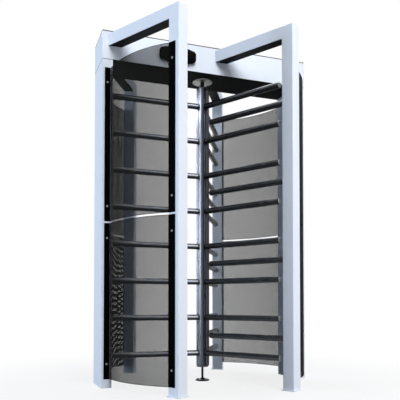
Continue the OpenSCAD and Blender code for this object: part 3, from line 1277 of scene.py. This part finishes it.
@dataclass
class Lamp:
    """A soft rectangular lamp.

    Attributes:
        name: its name.
        at: its place.
        size: its width and height.
        power: its power in watts.
        colour: sRGB hex colour of its light.
        reach: what it does.
        aim: the point that it faces.
        only: the nodes that it reaches, or none for all.
        never: the nodes that it doesn't reach.
    """

    name: str
    at: tuple[float, float, float]
    size: tuple[float, float]
    power: float
    colour: str = "ffffff"
    reach: Reach = Reach.SURFACES
    aim: tuple[float, float, float] = (0.0, 0.0, 1.2)
    only: tuple[str, ...] = ()
    never: tuple[str, ...] = ()

    def build(self) -> None:
        """Adds the lamp to the scene."""
        light = bpy.data.lights.new(self.name, "AREA")
        light.shape = "RECTANGLE"
        light.size, light.size_y = self.size
        light.energy = self.power
        light.color = srgb(self.colour)[:3]
        lamp = bpy.data.objects.new(self.name, light)
        lamp.visible_glossy = self.reach is Reach.REFLECTIONS
        lamp.visible_diffuse = self.reach is Reach.SURFACES
        lamp.matrix_world = facing(Vector(self.at) - Vector(self.aim), Vector(self.at))
        if self.only or self.never:
            receivers = bpy.data.collections.new(f"linked_to_{self.name}")
            for node in self.only + self.never:
                receivers.objects.link(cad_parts[node])
            for item in receivers.collection_objects:
                item.light_linking.link_state = "INCLUDE" if self.only else "EXCLUDE"
            lamp.light_linking.receiver_collection = receivers
        bpy.context.scene.collection.objects.link(lamp)
        LOG.info("%s: %g W", self.name, self.power)


# The lamps in front, at the sides and behind that light the surfaces, and the panels that
# only show in polished steel. The header's front has a lamp of its own, from above, so that
# the beams throw short shadows on it, and the rear left post stands in the shade.
LAMPS = (
    Lamp("right_lamp", (3.4, -4.3, 1.3), (2.2, 2.2), 84.0),
    Lamp("high_lamp", (0.8, -6.4, 2.7), (2.4, 1.8), 266.0,
         never=("rear_left_post", "header_front_panel")),
    Lamp("header_lamp", (-0.3, -2.2, 5.0), (2.2, 2.2), 176.0, aim=(-0.1, -0.14, 2.2),
         only=("header_front_panel",)),
    Lamp("left_lamp", (-7.3, -0.3, 2.0), (2.4, 2.8), 370.0, "e0eeff"),
    Lamp("rear_lamp", (-0.5, 6.6, 2.6), (2.4, 2.4), 160.0, "f4f7ff"),
    Lamp("rear_right_lamp", (6.1, 3.5, 2.4), (2.6, 2.6), 360.0, "f4f7ff"),
    Lamp("overhead_panel", (2.5, -0.5, 6.0), (8.0, 8.0), 1150.0, reach=Reach.REFLECTIONS,
         aim=(2.5, -0.501, 0.0)),
    Lamp("front_right_panel", (3.1, -6.6, 4.2), (3.4, 7.0), 560.0, reach=Reach.REFLECTIONS,
         only=("wing_left",)),
    Lamp("left_panel", (-6.3, 0.8, 2.6), (12.0, 4.4), 8300.0, "eef3ff",
         reach=Reach.REFLECTIONS, aim=(0.0, 0.0, 1.8),
         only=("column_tube_front", "column_tube_right", "column_tube_rear")),
)


@dataclass
class Studio:
    """The pale floor, the white surroundings, the lamps and the camera.

    Attributes:
        lens_mm: focal length of the camera.
        lens_shift: upward shift of its lens, as a share of the image.
        eye: its place.
        tilt: angle of its view from straight down, in degrees.
        heading: angle of its view in plan from +Y, in degrees.
        ambient: sRGB hex colour of the light from all round.
        ambient_strength: its strength.
        floor_paint: sRGB hex colour of the floor.
        floor_bounce: sRGB hex colour of the light that the floor throws back.
        floor_share: share of the floor's look beneath the object that is plain white and
            takes no shadow.
        floor_fade: distances from the axis between which that share grows to the whole.
        floor_size: side of the floor.
        floor_drop: how far the floor lies under the feet, so that the two don't mix.
    """

    lens_mm: float = 50.83
    lens_shift: float = 0.2208
    eye: tuple[float, float, float] = (-1.3786, -3.7587, 0.5394)
    tilt: float = 91.58
    heading: float = -19.9
    ambient: str = "dfe8ff"
    ambient_strength: float = 0.14
    floor_paint: str = "f0f0f0"
    floor_bounce: str = "404040"
    floor_share: float = 0.8
    floor_fade: tuple[float, float] = (0.8, 2.6)
    floor_size: float = 60.0
    floor_drop: float = 0.5 * MM

    def build(self) -> None:
        """Builds the studio."""
        self.build_camera()
        self.build_world()
        self.build_floor()
        for lamp in LAMPS:
            lamp.build()
        bpy.context.scene.view_settings.view_transform = "Standard"

    def build_camera(self) -> None:
        """Adds the camera."""
        data = bpy.data.cameras.new("camera")
        data.sensor_width = 36.0
        data.lens = self.lens_mm
        data.shift_y = self.lens_shift
        data.clip_end = 200.0
        camera = bpy.data.objects.new("camera", data)
        camera.location = self.eye
        camera.rotation_euler = (math.radians(self.tilt), 0.0, math.radians(self.heading))
        bpy.context.scene.collection.objects.link(camera)
        bpy.context.scene.camera = camera

    @staticmethod
    def seen_directly(tree: bpy.types.NodeTree) -> bpy.types.NodeSocket:
        """Tells what is looked at, also in a mirror or through glass, from what only lights.

        Args:
            tree: the node tree that gets the nodes.

        Returns:
            1 for camera, glossy and transmission rays, and 0 for the rest.
        """
        rays = add_node(tree, "ShaderNodeLightPath")
        mirror = add_node(tree, "ShaderNodeMath", {0: rays.outputs["Is Camera Ray"],
                                                   1: rays.outputs["Is Glossy Ray"]},
                          operation="MAXIMUM")
        every = add_node(tree, "ShaderNodeMath", {0: mirror.outputs[0],
                                                  1: rays.outputs["Is Transmission Ray"]},
                         operation="MAXIMUM")
        return every.outputs[0]

    def build_world(self) -> None:
        """Makes the surroundings white to look at, and a dim cool light for the object."""
        world = bpy.data.worlds.new("white_surroundings")
        world.use_nodes = True
        tree = world.node_tree
        tree.nodes.clear()
        dim = add_node(tree, "ShaderNodeBackground", {"Color": srgb(self.ambient),
                                                      "Strength": self.ambient_strength})
        white = add_node(tree, "ShaderNodeBackground", {"Color": srgb("ffffff"),
                                                        "Strength": 1.0})
        mixed = add_node(tree, "ShaderNodeMixShader", {0: self.seen_directly(tree),
                                                       1: dim.outputs[0], 2: white.outputs[0]})
        add_node(tree, "ShaderNodeOutputWorld", {"Surface": mixed.outputs[0]})
        bpy.context.scene.world = world

    def build_floor(self) -> None:
        """Adds the floor, which is white to look at and keeps the object's soft shadow."""
        bm = bmesh.new()
        bmesh.ops.create_grid(bm, x_segments=1, y_segments=1, size=self.floor_size / 2,
                              matrix=Matrix.Translation((0, 0, -self.floor_drop)))
        floor = mesh_object("floor", bm)
        material = bpy.data.materials.new("white_studio_floor")
        material.use_nodes = True
        tree = material.node_tree
        tree.nodes.clear()
        rays = add_node(tree, "ShaderNodeLightPath")
        tint = add_node(tree, "ShaderNodeMix",
                        {0: rays.outputs["Is Diffuse Ray"], 6: srgb(self.floor_paint),
                         7: srgb(self.floor_bounce)}, data_type="RGBA")
        paint = add_node(tree, "ShaderNodeBsdfDiffuse", {"Color": tint.outputs[2]})
        white = add_node(tree, "ShaderNodeEmission", {"Color": srgb("ffffff"),
                                                      "Strength": 1.0})
        where = add_node(tree, "ShaderNodeTexCoord").outputs["Object"]
        away = add_node(tree, "ShaderNodeVectorMath", {0: where}, operation="LENGTH")
        plain = add_node(tree, "ShaderNodeMapRange",
                         {"Value": away.outputs["Value"], "From Min": self.floor_fade[0],
                          "From Max": self.floor_fade[1], "To Min": self.floor_share,
                          "To Max": 1.0}, interpolation_type="SMOOTHSTEP")
        share = add_node(tree, "ShaderNodeMath", {0: self.seen_directly(tree),
                                                  1: plain.outputs["Result"]},
                         operation="MULTIPLY")
        mixed = add_node(tree, "ShaderNodeMixShader", {0: share.outputs[0],
                                                       1: paint.outputs[0],
                                                       2: white.outputs[0]})
        add_node(tree, "ShaderNodeOutputMaterial", {"Surface": mixed.outputs[0]})
        floor.data.materials.append(material)


def main() -> None:
    """Builds the studio and every sub-assembly."""
    logging.basicConfig(level=logging.INFO, format="%(name)s: %(message)s")
    Studio().build()
    Housing().build()
    Guards().build()
    Rotor().build()
    Bearings().build()
    housing, lens = HOUSING_PLASTIC.build(), LENS_PLASTIC.build()
    for face in Face:
        Indicator(face).build(housing, lens)
    LOG.info("sizes written")


if __name__ == "__main__":
    main()
